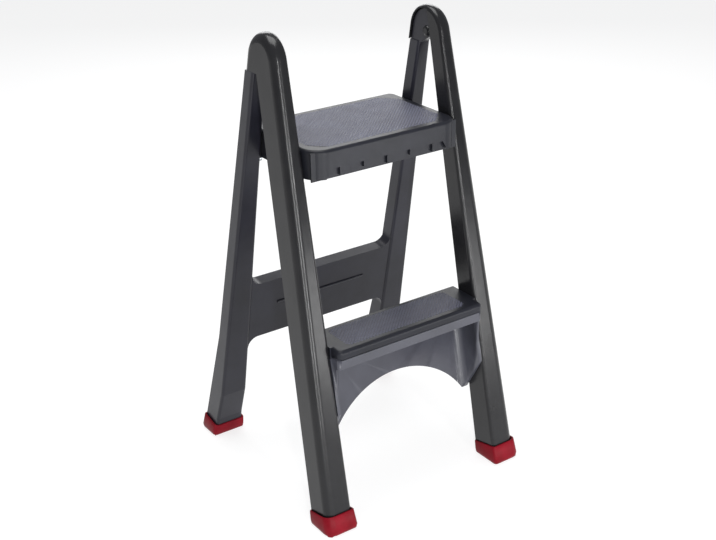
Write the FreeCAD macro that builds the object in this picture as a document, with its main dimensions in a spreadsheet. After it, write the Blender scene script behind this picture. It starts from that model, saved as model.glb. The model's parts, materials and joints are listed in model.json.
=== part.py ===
"""Folding step stool of moulded plastic: two steps between a front frame and a swinging rear frame.

Millimetres. X runs across the stool, the front faces -Y and +Z is up.
The origin lies on the floor under the middle of the stool.
The right-hand pieces are modelled and the left-hand ones are their mirror images.
"""
import FreeCAD, Part
import math
import os
import Sketcher

V = FreeCAD.Vector
doc = FreeCAD.newDocument("folding_step_stool")


# Driving dimensions

SIZES = [
    ("overall_height", 780, "floor to the top of the domes"),
    ("floor_half_width", 201, "outer face of a leg, at the floor"),
    ("top_half_width", 169, "outer face of a leg, at the overall height"),
    ("front_inner_low", 153, "inner face of a front leg, at the floor"),
    ("front_inner_top", 143.5, "inner face of a front leg, at the overall height"),
    ("rear_inner", 147, "inner face of a rear leg"),
    ("leg_bottom", 4, "lower end of the legs, above the floor"),
    ("dome_radius", 43, "radius of the domes round the hinge pins"),
    ("pin_y", -3, "hinge pins, front to rear"),
    ("front_lean", 12.4, "lean of the front legs, degrees"),
    ("rear_lean", 11.5, "lean of the rear legs, degrees"),
    ("channel_lean", 12.8, "lean of the rear edge of the front legs, degrees"),
    ("channel_offset", 12.5, "from the hinge pin back to the rear edge of the front legs"),
    ("inner_wall_offset", -13, "from the hinge pin back to the rear edge of the inner walls"),
    ("inner_wall_lean", 10.8, "lean of that edge, degrees"),
    ("hood_lip", 5, "lip that a dome keeps over the tongue, seen from the middle of the stool"),
    ("hinge_relief", 3, "room round a hinge pin's head in the inner wall"),
    ("rear_face_offset", 14, "from the hinge pin back to the front face of the rear legs"),
    ("hood_drop", 20, "from the hinge pin down to the lower edge of the hood"),
    ("cut_reach", 40, "how far cuts reach past what they cut"),
    ("wall", 3.5, "wall of the mouldings"),
    ("outer_round", 15, "rounding of the legs' outer front edges"),
    ("inner_round", 7, "rounding of the legs' inner front edges"),
    ("running_gap", 0.3, "gap between faces that slide or rest on each other"),
    ("flare_height", 215, "where the rear legs start to flare"),
    ("flare_length", 178, "height of the flare's slope"),
    ("shoulder_ease", 6, "how far the rear leg's back edge draws in at its shoulder"),
    ("flare_rear", 18.2, "how far the flare steps back"),
    ("flare_front", 8, "how far the front face follows the flare"),
    ("front_flare_length", 58, "height of the front face's own slope"),
    ("rib", 2.5, "thickness of the ribs"),
    ("rib_first", 60, "height of the lowest rib in the leg channels"),
    ("rib_pitch", 84, "spacing of the ribs in the leg channels"),
    ("rib_trace", 0.6, "trace of the ribs that stays on the walls behind them"),
    ("rib_setback", 4, "ribs behind the edge of the inner walls"),
    ("rib_count", 8, "ribs in a front leg's channel, two less in a rear leg's"),
    ("rear_round", 5, "rounding of the rear legs' front edges"),
    ("tongue_radius", 36.5, "radius of the rear legs' tongues"),
    ("tongue_inner", 148.5, "inner cheek of a tongue"),
    ("tongue_outer", 161, "outer cheek of a tongue"),
    ("hinge_pin_diameter", 10, "hinge pins"),
    ("hinge_head_diameter", 18, "heads of the hinge pins"),
    ("head_thickness", 2.8, "thickness of the pin heads"),
    ("pin_fit", 0.05, "radial clearance of a turning pin"),
    ("lower_step_top", 304, "top of the lower step"),
    ("lower_depth", 59.6, "lower step's box, front to rear"),
    ("nosing_reach", 23.4, "how far the nosing reaches in front of that box"),
    ("nosing_height", 14, "height of the nosing"),
    ("nosing_round", 6, "rounding of the nosing"),
    ("nosing_inset", 2, "from the nosing's end to the leg's inner face"),
    ("nosing_corner", 9, "plan rounding of the nosing's ends"),
    ("lower_skirt", 20, "depth of the lower step's skirts"),
    ("tread_front", 3, "lower step's box behind the legs' front faces"),
    ("lower_ribs", 48, "spacing of the ribs below the lower step"),
    ("groove", 3, "shadow groove below the nosing"),
    ("lip_height", 16, "lip of the arch panel below the groove"),
    ("lip_setback", 2.5, "lip behind the nosing"),
    ("web_offset", 7, "from the hinge pin back to the arch panel's web"),
    ("web_corner", 14, "rounding between the web and its side walls"),
    ("side_wall_inner", 144.5, "inner faces of the arch panel's side walls"),
    ("side_wall_setback", 2, "side walls behind the legs' front faces"),
    ("side_wall_rise", 48, "how much higher the side walls end at their front"),
    ("corbel_foot", 222, "where the side walls' front corners start to reach forward"),
    ("arch_radius", 165, "radius of the arch"),
    ("arch_top", 200, "height of the arch"),
    ("arch_end", 100, "lower ends of the arch panel"),
    ("upper_step_top", 613, "top of the upper step"),
    ("upper_rear", 88, "rear edge of the upper step"),
    ("upper_front", -100, "front edge of the upper step"),
    ("end_gap", 1.7, "upper step to the front legs, at the step's top"),
    ("upper_depth", 47, "depth of the upper step's end walls"),
    ("skirt_depth", 31, "depth of its front skirt in the middle"),
    ("skirt_cut_half", 118, "half width of the cut-out in the skirts"),
    ("skirt_cut_slope", 10, "how far the cut-out's ends slope inwards"),
    ("front_corner", 32, "front corners of the upper step"),
    ("rear_corner", 12, "rear corners of the upper step"),
    ("edge_round", 5, "rounding of the steps' upper edges"),
    ("step_pin_inset", 22.9, "pins of the upper step behind the legs' front faces"),
    ("step_pin_z", 583, "pins of the upper step, height"),
    ("step_pin_diameter", 8, "pins of the upper step"),
    ("step_head_diameter", 15, "heads of those pins"),
    ("boss_radius", 11, "bosses round the pins"),
    ("boss_length", 10, "length of those bosses"),
    ("clip_diameter", 14, "push-on clips of those pins"),
    ("clip_thickness", 1.2, "thickness of those clips"),
    ("upper_rib_pitch", 45, "spacing of the ribs below the upper step"),
    ("upper_rib_depth", 42, "depth of those ribs below the step's top"),
    ("deep_rib_extra", 4, "how much deeper every second rib is"),
    ("cross_rib_y", -91, "cross rib behind the front skirt"),
    ("cross_rib_depth", 49, "depth of that cross rib below the step's top"),
    ("middle_rib_y", 0, "cross rib under the middle"),
    ("rest_pin_y", 62, "rest pins, front to rear"),
    ("rest_pin_diameter", 10, "rest pins"),
    ("rest_pin_reach", 9, "rest pins beyond the rear legs' inner faces"),
    ("panel_low", 205, "lower edge of the rear cross panel"),
    ("panel_high", 318, "upper edge of the rear cross panel"),
    ("panel_depth", 22, "depth of the rear cross panel"),
    ("panel_setback", 3, "panel behind the rear legs' front faces"),
    ("panel_fillet", 20, "hollow corners where the panel meets the legs"),
    ("ridge_height", 5, "height of the panel's ridge"),
    ("ridge_depth", 2, "how far the ridge stands out"),
    ("ridge_rise", 7.5, "ridge above the panel's middle"),
    ("ridge_half", 92, "half length of the ridge"),
    ("panel_ribs", 48, "spacing of the ribs behind the cross panel"),
    ("foot_wall", 3, "wall of the feet"),
    ("foot_flare", 2, "how much wider the feet are at the floor"),
    ("foot_height", 27, "height of the feet along the leg"),
    ("foot_rim", 1.2, "how far the feet's rims stand out"),
    ("rim_height", 4, "height of those rims"),
    ("foot_round", 8, "rounding of the feet's upright edges"),
    ("foot_fit", 0.15, "gap between a foot and its leg"),
    ("screw_diameter", 4.5, "screw shanks"),
    ("screw_head", 9, "screw heads"),
    ("screw_head_height", 3, "height of the screw heads"),
    ("screw_length", 18, "screw shanks beyond the leg's wall"),
    ("screw_seat", 0.1, "gap below a screw's head, for the slant of the wall"),
    ("screw_boss", 5, "radius of the bosses that take the screws"),
    ("step_screw_inset", 19.6, "from the box's front to the middle of its two screws"),
    ("step_screw_pitch", 20, "spacing of the lower step's two screws"),
    ("panel_screw_inset", 28, "panel screws from the panel's edges"),
]

sheet = doc.addObject("Spreadsheet::Sheet", "Sizes")
for row, (alias, number, meaning) in enumerate(SIZES, start=1):
    sheet.set(f"A{row}", str(number))
    sheet.setAlias(f"A{row}", alias)
    sheet.set(f"B{row}", meaning)
doc.recompute()


# Lengths that keep their formula

class Length:
    """A number together with the formula that ties it to the sheet."""

    def __init__(self, formula, value):
        self.formula = formula
        self.value = value

    def __add__(self, other):
        other = length(other)
        return Length(f"({self.formula} + {other.formula})", self.value + other.value)

    def __sub__(self, other):
        other = length(other)
        return Length(f"({self.formula} - {other.formula})", self.value - other.value)

    def __mul__(self, other):
        other = length(other)
        return Length(f"({self.formula} * {other.formula})", self.value * other.value)

    def __truediv__(self, other):
        other = length(other)
        return Length(f"({self.formula} / {other.formula})", self.value / other.value)

    def __neg__(self):
        return Length(f"(-1 * {self.formula})", -self.value)


def length(number):
    """A plain number as a Length."""
    return number if isinstance(number, Length) else Length(repr(float(number)), float(number))


def size(alias):
    """A driving dimension of the sheet."""
    return Length(f"Sizes.{alias}", float(sheet.get(alias)))


def sine(angle):
    return Length(f"sin({angle.formula})", math.sin(math.radians(angle.value)))


def cosine(angle):
    return Length(f"cos({angle.formula})", math.cos(math.radians(angle.value)))


def root(square):
    return Length(f"sqrt({square.formula})", math.sqrt(square.value))


def bind(thing, field, amount):
    """Set a property of a document object by its formula."""
    thing.setExpression(field, length(amount).formula)


# Places that several pieces share

WALL = size("wall")
GAP = size("running_gap")
HEIGHT = size("overall_height")
PIN_Y = size("pin_y")
PIN_Z = HEIGHT - size("dome_radius")
FLOOR = length(0)
BEYOND = size("cut_reach")


def front_line(z, offset):
    """Y of a line along the front legs, a distance behind the hinge pins, at a height."""
    lean = size("front_lean")
    return PIN_Y + (length(offset) - (PIN_Z - z) * sine(lean)) / cosine(lean)


STEP_PIN_Y = front_line(size("step_pin_z"), -size("dome_radius")) + size("step_pin_inset")


def step_front():
    """Y of the front of the lower step's box."""
    low = size("lower_step_top") - size("lower_skirt")
    return front_line(low, -size("dome_radius")) + size("tread_front")


def channel_line(z):
    """Y of the rear edge of the front legs at a height."""
    lean = size("channel_lean")
    return PIN_Y + (size("channel_offset") - (PIN_Z - z) * sine(lean)) / cosine(lean)


def rear_line(z, offset):
    """Y of a line along the rear legs, a distance behind the hinge pins, at a height."""
    lean = size("rear_lean")
    return PIN_Y + (length(offset) + (PIN_Z - z) * sine(lean)) / cosine(lean)


def outer_face(z):
    """X of the legs' outer faces at a height."""
    low = size("floor_half_width")
    return low + (size("top_half_width") - low) * z / HEIGHT


def front_inner_face(z):
    """X of the front legs' inner faces at a height."""
    low = size("front_inner_low")
    return low + (size("front_inner_top") - low) * z / HEIGHT


# Sketches, pads and other building blocks

def new_sketch(body, plane, offset, name):
    """A sketch on one of the body's own origin planes, moved along its normal."""
    sketch = body.newObject("Sketcher::SketchObject", name)
    role = [item for item in body.Origin.OriginFeatures if item.Role == plane]
    sketch.AttachmentSupport = [(role[0], "")]
    sketch.MapMode = "FlatFace"
    bind(sketch, "AttachmentOffset.Base.z", offset)
    return sketch


def hold(sketch, segment, end, corner):
    """Fix one end of a segment by its two distances from the origin."""
    for kind, amount, axis in (("DistanceX", corner[0], -2), ("DistanceY", corner[1], -1)):
        if abs(amount.value) < 1e-6:
            sketch.addConstraint(Sketcher.Constraint("PointOnObject", segment, end, axis))
            continue
        number = sketch.addConstraint(Sketcher.Constraint(kind, -1, 1, segment, end, amount.value))
        bind(sketch, f"Constraints[{number}]", amount)


def arc_between(start, end, centre, radius):
    """The shorter arc from one corner to the next, and which of its ends comes first."""
    circle = Part.Circle(V(centre[0].value, centre[1].value, 0), V(0, 0, 1), radius.value)
    turn = [math.atan2(p[1].value - centre[1].value, p[0].value - centre[0].value) for p in (start, end)]
    forward = (turn[1] - turn[0]) % (2 * math.pi) <= math.pi
    first, last = turn if forward else reversed(turn)
    if last < first:
        last += 2 * math.pi
    return Part.ArcOfCircle(circle, first, last), forward


def draw_outline(sketch, corners, arcs=None):
    """A closed outline through the corners. arcs gives centre and radius after a corner's number."""
    arcs = arcs or {}
    corners = [(length(x), length(y)) for x, y in corners]
    ends = []
    for number, start in enumerate(corners):
        end = corners[(number + 1) % len(corners)]
        forward = True
        if number in arcs:
            curve, forward = arc_between(start, end, *arcs[number])
        else:
            curve = Part.LineSegment(V(start[0].value, start[1].value, 0), V(end[0].value, end[1].value, 0))
        sketch.addGeometry(curve)
        ends.append((1, 2) if forward else (2, 1))
    for number, (first, last) in enumerate(ends):
        following = (number + 1) % len(corners)
        sketch.addConstraint(Sketcher.Constraint("Coincident", number, last, following, ends[following][0]))
        hold(sketch, number, first, corners[number])
        if number in arcs:
            radius = arcs[number][1]
            rule = sketch.addConstraint(Sketcher.Constraint("Radius", number, radius.value))
            bind(sketch, f"Constraints[{rule}]", radius)


def new_body(name):
    return doc.addObject("PartDesign::Body", name)


def add_pad(body, name, plane, offset, depth, corners, arcs=None):
    """Add an outline's material, from the offset along the plane's normal."""
    sketch = new_sketch(body, plane, offset, name + "_outline")
    draw_outline(sketch, corners, arcs)
    pad = body.newObject("PartDesign::Pad", name)
    pad.Profile = sketch
    bind(pad, "Length", depth)
    doc.recompute()
    return pad


def add_pocket(body, name, plane, offset, depth, corners, arcs=None):
    """Take an outline's material away, from the offset along the plane's normal."""
    before = body.Shape.Volume
    sketch = new_sketch(body, plane, offset, name + "_outline")
    draw_outline(sketch, corners, arcs)
    pocket = body.newObject("PartDesign::Pocket", name)
    pocket.Profile = sketch
    pocket.Reversed = True
    bind(pocket, "Length", depth)
    doc.recompute()
    if body.Shape.Volume >= before:
        raise RuntimeError(f"{name} cuts nothing")
    return pocket


def add_fillet(body, name, radius, chosen):
    """Round those edges of the body that the test chooses."""
    base = body.Tip
    edges = [f"Edge{n}" for n, edge in enumerate(base.Shape.Edges, start=1) if chosen(edge)]
    if not edges:
        raise RuntimeError(f"{name} finds no edge")
    fillet = body.newObject("PartDesign::Fillet", name)
    fillet.Base = (base, edges)
    bind(fillet, "Radius", radius)
    doc.recompute()
    return fillet


def combine(kind, label, base, tool):
    """A Part boolean of two objects: Cut or Common."""
    joined = doc.addObject("Part::" + kind, label)
    joined.Base = base
    joined.Tool = tool
    joined.Refine = True
    doc.recompute()
    return joined


def fuse(label, pieces):
    joined = doc.addObject("Part::MultiFuse", label)
    joined.Shapes = pieces
    joined.Refine = True
    doc.recompute()
    return joined


def rod(label, diameter, start, end, y, z):
    """A cylinder along X."""
    cylinder = doc.addObject("Part::Cylinder", label)
    bind(cylinder, "Radius", diameter / 2)
    bind(cylinder, "Height", end - start)
    cylinder.Placement = FreeCAD.Placement(V(0, 0, 0), FreeCAD.Rotation(V(0, 1, 0), 90))
    bind(cylinder, "Placement.Base.x", start)
    bind(cylinder, "Placement.Base.y", y)
    bind(cylinder, "Placement.Base.z", z)
    doc.recompute()
    return cylinder


def mirror_left(label, source):
    """The left-hand piece, across the stool's middle plane."""
    left = doc.addObject("Part::Mirroring", label)
    left.Source = source
    left.Base = V(0, 0, 0)
    left.Normal = V(1, 0, 0)
    doc.recompute()
    return left


def lies_on_outer(edge, inset):
    """Whether both ends of an edge lie on the legs' outer plane, moved in by an inset."""
    return all(abs(v.X - outer_face(length(v.Z)).value + inset) < 0.05 for v in edge.Vertexes)


def lies_on_front_inner(edge, inset):
    return all(abs(v.X - front_inner_face(length(v.Z)).value - inset) < 0.05 for v in edge.Vertexes)


def trim_outside(body, name, inset, across):
    """Cut a body back to the legs' leaning outer plane."""
    far = size("floor_half_width") + BEYOND
    low = outer_face(FLOOR) - inset
    top = outer_face(HEIGHT + BEYOND) - inset
    corners = [(low, FLOOR), (far, FLOOR), (far, HEIGHT + BEYOND), (top, HEIGHT + BEYOND)]
    add_pocket(body, name, "XZ_Plane", -across, across * 2, corners)


def trim_inside(body, name, inset, across):
    """Cut a body back to the front legs' leaning inner plane."""
    near = size("front_inner_top") - BEYOND
    low = front_inner_face(FLOOR) + inset
    top = front_inner_face(HEIGHT + BEYOND) + inset
    corners = [(near, FLOOR), (low, FLOOR), (top, HEIGHT + BEYOND), (near, HEIGHT + BEYOND)]
    add_pocket(body, name, "XZ_Plane", -across, across * 2, corners)


ACROSS = HEIGHT / 2


# Front legs

def front_leg_block(name, thickness):
    """The leg's outer form, or the space inside it, a wall's thickness further in."""
    radius = size("dome_radius") - thickness
    front, rear = size("front_lean"), size("rear_lean")
    foot = size("leg_bottom") - thickness
    hood = PIN_Z - size("hood_drop") - thickness
    open_rear = thickness * 4
    corners = [
        (front_line(foot, -radius), foot),
        (PIN_Y - radius * cosine(front), PIN_Z + radius * sine(front)),
        (PIN_Y, PIN_Z + radius),
        (PIN_Y + radius * cosine(rear), PIN_Z + radius * sine(rear)),
        (rear_line(hood, radius), hood),
        (channel_line(hood) + open_rear, hood),
        (channel_line(foot) + open_rear, foot),
    ]
    arcs = {1: ((PIN_Y, PIN_Z), radius), 2: ((PIN_Y, PIN_Z), radius)}
    body = new_body(name)
    start = size("front_inner_top") - 5
    add_pad(body, name + "_side", "YZ_Plane", start, outer_face(FLOOR) - start, corners, arcs)
    trim_outside(body, name + "_outside", thickness, ACROSS)
    trim_inside(body, name + "_inside", thickness, ACROSS)
    return body


def on_front_edge(edge, offset):
    """Whether an edge follows the front face or the dome."""
    reach = abs(offset)
    for vertex in edge.Vertexes:
        on_front = abs(vertex.Y - front_line(length(vertex.Z), offset).value) < 0.1
        on_dome = abs(math.hypot(vertex.Y - PIN_Y.value, vertex.Z - PIN_Z.value) - reach) < 0.1
        on_rear = abs(vertex.Y - rear_line(length(vertex.Z), length(reach)).value) < 0.1
        if not (on_front or on_dome or on_rear):
            return False
    return True


def round_front_leg(body, thickness):
    reach = size("dome_radius").value - thickness.value
    outer = size("outer_round") - thickness
    add_fillet(body, body.Name + "_outer_round", outer,
               lambda e: lies_on_outer(e, thickness.value) and on_front_edge(e, -reach))
    inner = size("inner_round") - thickness
    add_fillet(body, body.Name + "_inner_round", inner,
               lambda e: lies_on_front_inner(e, thickness.value) and on_front_edge(e, -reach))


def repeat_upwards(body, feature, pitch, count):
    """Repeat the body's last feature up the Z axis."""
    axis = [item for item in body.Origin.OriginFeatures if item.Role == "Z_Axis"][0]
    pattern = body.newObject("PartDesign::LinearPattern", feature.Name + "_row")
    pattern.Originals = [feature]
    pattern.Direction = (axis, [""])
    bind(pattern, "Length", pitch * (count - 1))
    bind(pattern, "Occurrences", count)
    body.Tip = pattern
    doc.recompute()


def leave_ribs(body, name, count):
    """Take rib-thick slices out of a leg's inner space, where the leg keeps its ribs."""
    low = size("rib_first")
    high = low + size("rib")
    near, far = -HEIGHT / 2, HEIGHT / 2
    slice_cut = add_pocket(body, name, "YZ_Plane", length(0), HEIGHT / 2,
                           [(near, low), (far, low), (far, high), (near, high)])
    repeat_upwards(body, slice_cut, size("rib_pitch"), count)


def inner_wall_edge(z, setback):
    """Y of the inner wall's rear edge, or of a line so far in front of it."""
    lean = size("inner_wall_lean")
    return PIN_Y + (size("inner_wall_offset") - setback - (PIN_Z - z) * sine(lean)) / cosine(lean)


def rib_relief():
    """The space behind the ribs of a front leg, where the channel stays open."""
    thickness = WALL + size("rib_trace")
    space = front_leg_block("rib_relief_space", thickness)
    low, high, back = FLOOR, PIN_Z - size("hood_drop") - WALL * 2, size("dome_radius") + BEYOND
    behind = new_body("rib_relief_behind")
    add_pad(behind, "rib_relief_side", "YZ_Plane", length(0), HEIGHT / 2, [
        (inner_wall_edge(low, size("rib_setback")), low),
        (inner_wall_edge(high, size("rib_setback")), high),
        (back, high), (back, low),
    ])
    return combine("Common", "rib_relief", space, behind)


def inner_wall_cut():
    """What is cut from a front leg's inner wall, so that the tongue shows and can turn."""
    lean, rear = size("inner_wall_lean"), size("rear_lean")
    offset, inside = size("inner_wall_offset"), size("dome_radius") - size("hood_lip")
    along = root(inside * inside - offset * offset)
    foot = FLOOR - WALL
    foot_y = inner_wall_edge(foot, length(0))
    hood = PIN_Z - size("hood_drop") - WALL
    far = size("dome_radius") + BEYOND
    corners = [
        (foot_y, foot),
        (PIN_Y + offset * cosine(lean) + along * sine(lean), PIN_Z - offset * sine(lean) + along * cosine(lean)),
        (PIN_Y + inside * cosine(rear), PIN_Z + inside * sine(rear)),
        (rear_line(hood, inside), hood),
        (far, hood),
        (far, foot),
    ]
    body = new_body("inner_wall_cut")
    start = size("front_inner_top") - WALL
    depth = size("tongue_inner") + WALL * 2 - start
    add_pad(body, "inner_wall_region", "YZ_Plane", start, depth, corners, {1: ((PIN_Y, PIN_Z), inside)})
    return body


def screw_places(y, z, pitch):
    return [(y - pitch / 2, z), (y + pitch / 2, z)]


STEP_SCREWS = screw_places(step_front() + size("step_screw_inset"), size("lower_step_top") - size("lower_skirt") / 2 - 2,
                           size("step_screw_pitch"))


def bores(name, places, diameter, start, end):
    """Clearance holes along X."""
    return [rod(f"{name}_{number}", diameter + size("pin_fit") * 2, start, end, y, z)
            for number, (y, z) in enumerate(places)]


def make_front_leg():
    outer = front_leg_block("front_leg_form", length(0))
    round_front_leg(outer, length(0))
    core = front_leg_block("front_leg_core", WALL)
    round_front_leg(core, WALL)
    leave_ribs(core, "front_leg_ribs", size("rib_count"))
    shell = combine("Cut", "front_leg_shell", outer, core)
    boss_face = size("tongue_outer") + GAP
    boss = rod("hinge_boss", size("boss_radius") * 2, boss_face, outer_face(PIN_Z) - WALL / 2, PIN_Y, PIN_Z)
    bossed = fuse("front_leg_with_boss", [shell, boss])
    within = size("front_inner_top") - BEYOND
    beyond_wall = size("tongue_inner") + WALL * 2
    relief = size("hinge_head_diameter") + size("hinge_relief") * 2
    tools = [
        inner_wall_cut(),
        rib_relief(),
        rod("hinge_relief_bore", relief, within, size("tongue_inner"), PIN_Y, PIN_Z),
        *bores("hinge_bore", [(PIN_Y, PIN_Z)], size("hinge_pin_diameter"), boss_face - 1, hinge_pin_end() + 0.2),
        *bores("step_pin_bore", [(STEP_PIN_Y, size("step_pin_z"))], size("step_pin_diameter"),
               within, beyond_wall),
        *bores("step_screw_bore", STEP_SCREWS, size("screw_diameter"), within, beyond_wall + WALL),
    ]
    return combine("Cut", "front_leg_right", bossed, fuse("front_leg_cuts", tools))


def hinge_pin_end():
    """X where a hinge pin ends, blind in the dome's outer wall."""
    return outer_face(PIN_Z) - WALL * 0.6


# Pins, clips and screws

def headed_pin(label, head_x, head_radius, head, shank_radius, end_x, y, z):
    """A turned pin along X: a domed head, then its shank. A negative head points it the other way."""
    body = new_body(label)
    sketch = new_sketch(body, "XY_Plane", 0, label + "_profile")
    tip = length(0.8 if end_x.value > head_x.value else -0.8)
    draw_outline(sketch, [
        (head_x, 0),
        (head_x, head_radius * 0.55),
        (head_x + head * 0.5, head_radius * 0.9),
        (head_x + head, head_radius),
        (head_x + head, shank_radius),
        (end_x - tip, shank_radius),
        (end_x, shank_radius - 0.8),
        (end_x, 0),
    ])
    turned = body.newObject("PartDesign::Revolution", label + "_turned")
    turned.Profile = sketch
    turned.ReferenceAxis = (sketch, ["H_Axis"])
    turned.Angle = 360
    bind(body, "Placement.Base.y", y)
    bind(body, "Placement.Base.z", z)
    doc.recompute()
    return body


def make_hinge_pin():
    head = size("head_thickness")
    start = size("tongue_inner") - GAP - head
    return headed_pin("hinge_pin_right", start, size("hinge_head_diameter") / 2, head,
                      size("hinge_pin_diameter") / 2, hinge_pin_end(), PIN_Y, PIN_Z)


UPPER_HALF = front_inner_face(size("upper_step_top")) - size("end_gap")
LEG_WALL_AT_PIN = front_inner_face(size("step_pin_z")) + WALL


def make_step_pin():
    head = size("head_thickness")
    start = UPPER_HALF - WALL - size("boss_length") - GAP - head
    end = LEG_WALL_AT_PIN + size("clip_thickness") + 3
    return headed_pin("step_pin_right", start, size("step_head_diameter") / 2, head,
                      size("step_pin_diameter") / 2, end, STEP_PIN_Y, size("step_pin_z"))


def make_step_pin_clip():
    start = LEG_WALL_AT_PIN + 0.2
    end = start + size("clip_thickness")
    y, z = STEP_PIN_Y, size("step_pin_z")
    disc = rod("step_clip_disc", size("clip_diameter"), start, end, y, z)
    hole = rod("step_clip_hole", size("step_pin_diameter") + size("pin_fit") * 2, start - 1, end + 1, y, z)
    return combine("Cut", "step_pin_clip_right", disc, hole)


REST_PIN_Z = size("upper_step_top") - size("upper_depth") - GAP - size("rest_pin_diameter") / 2


def make_rest_pin():
    head = size("head_thickness")
    start = size("rear_inner") + WALL + head
    return headed_pin("rest_pin_right", start, size("rest_pin_diameter") * 0.7, -head,
                      size("rest_pin_diameter") / 2, size("rear_inner") - size("rest_pin_reach"),
                      size("rest_pin_y"), REST_PIN_Z)


def screw_group(label, places, wall_faces):
    """Screws that point to the middle of the stool, on both sides of it, as one group of solids."""
    right = []
    for number, ((y, z), face) in enumerate(zip(places, wall_faces)):
        head = size("screw_head_height")
        top = face + size("screw_seat") + head
        right.append(headed_pin(f"{label}_{number}", top, size("screw_head") / 2, -head,
                                size("screw_diameter") / 2, face - WALL - size("screw_length"), y, z))
    left = [mirror_left(f"{screw.Label}_left", screw) for screw in right]
    group = doc.addObject("Part::Compound", label)
    group.Links = right + left
    doc.recompute()
    return group


# Lower step

def trim_to_front_legs(body, name):
    """Cut a cross piece back to the inner faces of both front legs."""
    far = size("floor_half_width") + BEYOND
    low, top = front_inner_face(FLOOR), front_inner_face(HEIGHT)
    right = [(low, FLOOR), (far, FLOOR), (far, HEIGHT), (top, HEIGHT)]
    left = [(-x, z) for x, z in right]
    add_pocket(body, name + "_right", "XZ_Plane", -ACROSS, ACROSS * 2, right)
    add_pocket(body, name + "_left", "XZ_Plane", -ACROSS, ACROSS * 2, left)


def rounded_front(half, front, rear, corner):
    """A plan outline with rounded front corners, and its arcs."""
    corners = [
        (-half, rear), (-half, front + corner), (-half + corner, front),
        (half - corner, front), (half, front + corner), (half, rear),
    ]
    arcs = {1: ((-half + corner, front + corner), corner), 3: ((half - corner, front + corner), corner)}
    return corners, arcs


def box_outline(half, front, rear):
    return [(-half, front), (half, front), (half, rear), (-half, rear)]


def strip(x, thickness, front, rear):
    """The plan of a rib that runs front to rear."""
    left, right = length(x) - thickness / 2, length(x) + thickness / 2
    return [(left, front), (right, front), (right, rear), (left, rear)]


NOSING_HALF = front_inner_face(size("lower_step_top")) - size("nosing_inset")


def make_lower_step():
    top, skirt = size("lower_step_top"), size("lower_skirt")
    front = step_front()
    rear, nose = front + size("lower_depth"), front - size("nosing_reach")
    bottom = top - skirt
    wide = size("front_inner_low") + 5
    body = new_body("lower_step_form")
    add_pad(body, "tread_box", "XY_Plane", bottom, skirt, box_outline(wide, front, rear))
    trim_to_front_legs(body, "tread_ends")
    corners, arcs = rounded_front(NOSING_HALF, nose, front + WALL, size("nosing_corner"))
    add_pad(body, "nosing", "XY_Plane", top - size("nosing_height"), size("nosing_height"), corners, arcs)
    add_fillet(body, "nosing_round", size("nosing_round"),
               lambda e: all(abs(v.Z - top.value) < 0.01 and v.Y < front.value - 0.5 for v in e.Vertexes))
    inside = front_inner_face(bottom) - WALL
    inset_front, inset_rear = front + WALL, rear - WALL
    add_pocket(body, "tread_hollow", "XY_Plane", bottom, skirt - WALL,
               box_outline(inside - 0.5, inset_front, inset_rear))
    corners, arcs = rounded_front(NOSING_HALF - WALL, nose + WALL, front - 0.01, size("nosing_corner") - WALL)
    nose_depth = size("nosing_height") - WALL
    add_pocket(body, "nosing_hollow", "XY_Plane", top - size("nosing_height"), nose_depth, corners, arcs)
    for number in range(-2, 3):
        x = size("lower_ribs") * number
        add_pad(body, f"tread_rib_{number + 2}", "XY_Plane", bottom + WALL, skirt - WALL * 2 + 0.5,
                strip(x, size("rib"), inset_front - 0.5, inset_rear + 0.5))
    reach = size("screw_length") + 4
    bosses = [rod(f"step_screw_boss_{number}", size("screw_boss") * 2, inside - reach, inside + 0.5, y, z)
              for number, (y, z) in enumerate(STEP_SCREWS)]
    bosses += [mirror_left(boss.Label + "_left", boss) for boss in bosses]
    holes = bores("step_screw_hole", STEP_SCREWS, size("screw_diameter"), inside - size("screw_length") - 1,
                  size("front_inner_low") + 5)
    holes += [mirror_left(hole.Label + "_left", hole) for hole in holes]
    bossed = fuse("lower_step_bossed", [body] + bosses)
    return combine("Cut", "lower_step", bossed, fuse("lower_step_holes", holes))


# Arch panel

def make_arch_web(top):
    """The web with its side walls, swept down along the legs' lean from a plan outline."""
    half, wing = size("front_inner_low") + 5, size("side_wall_inner")
    face = front_line(top, size("web_offset"))
    back = front_line(top, size("web_offset") + WALL)
    front = front_line(top, -size("dome_radius")) + size("side_wall_setback")
    corner = size("web_corner")
    bend = wing - corner
    corners = [
        (-half, back), (-half, front), (-wing, front), (-wing, face - corner), (-bend, face),
        (bend, face), (wing, face - corner), (wing, front), (half, front), (half, back),
    ]
    arcs = {3: ((-bend, face - corner), corner), 5: ((bend, face - corner), corner)}
    web = new_body("arch_web")
    sketch = new_sketch(web, "XY_Plane", top, "arch_web_outline")
    draw_outline(sketch, corners, arcs)
    sweep = web.newObject("PartDesign::Pad", "arch_web_sweep")
    sweep.Profile = sketch
    sweep.UseCustomVector = True
    sweep.AlongSketchNormal = False
    lean = size("front_lean")
    bind(sweep, "Direction.x", 0)
    bind(sweep, "Direction.y", -sine(lean))
    bind(sweep, "Direction.z", -cosine(lean))
    bind(sweep, "Length", (top - size("arch_end")) / cosine(lean))
    doc.recompute()
    trim_to_front_legs(web, "arch_web_ends")
    low = size("arch_end")
    high = low + size("side_wall_rise")
    ahead = front_line(low, -size("dome_radius")) - BEYOND
    add_pocket(web, "side_wall_ends", "YZ_Plane", -ACROSS, ACROSS * 2, [
        (ahead, low - WALL), (ahead, high), (front_line(high, -size("dome_radius")), high),
        (front_line(low, size("web_offset")), low), (front_line(low, size("web_offset")), low - WALL),
    ])
    return web


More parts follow.
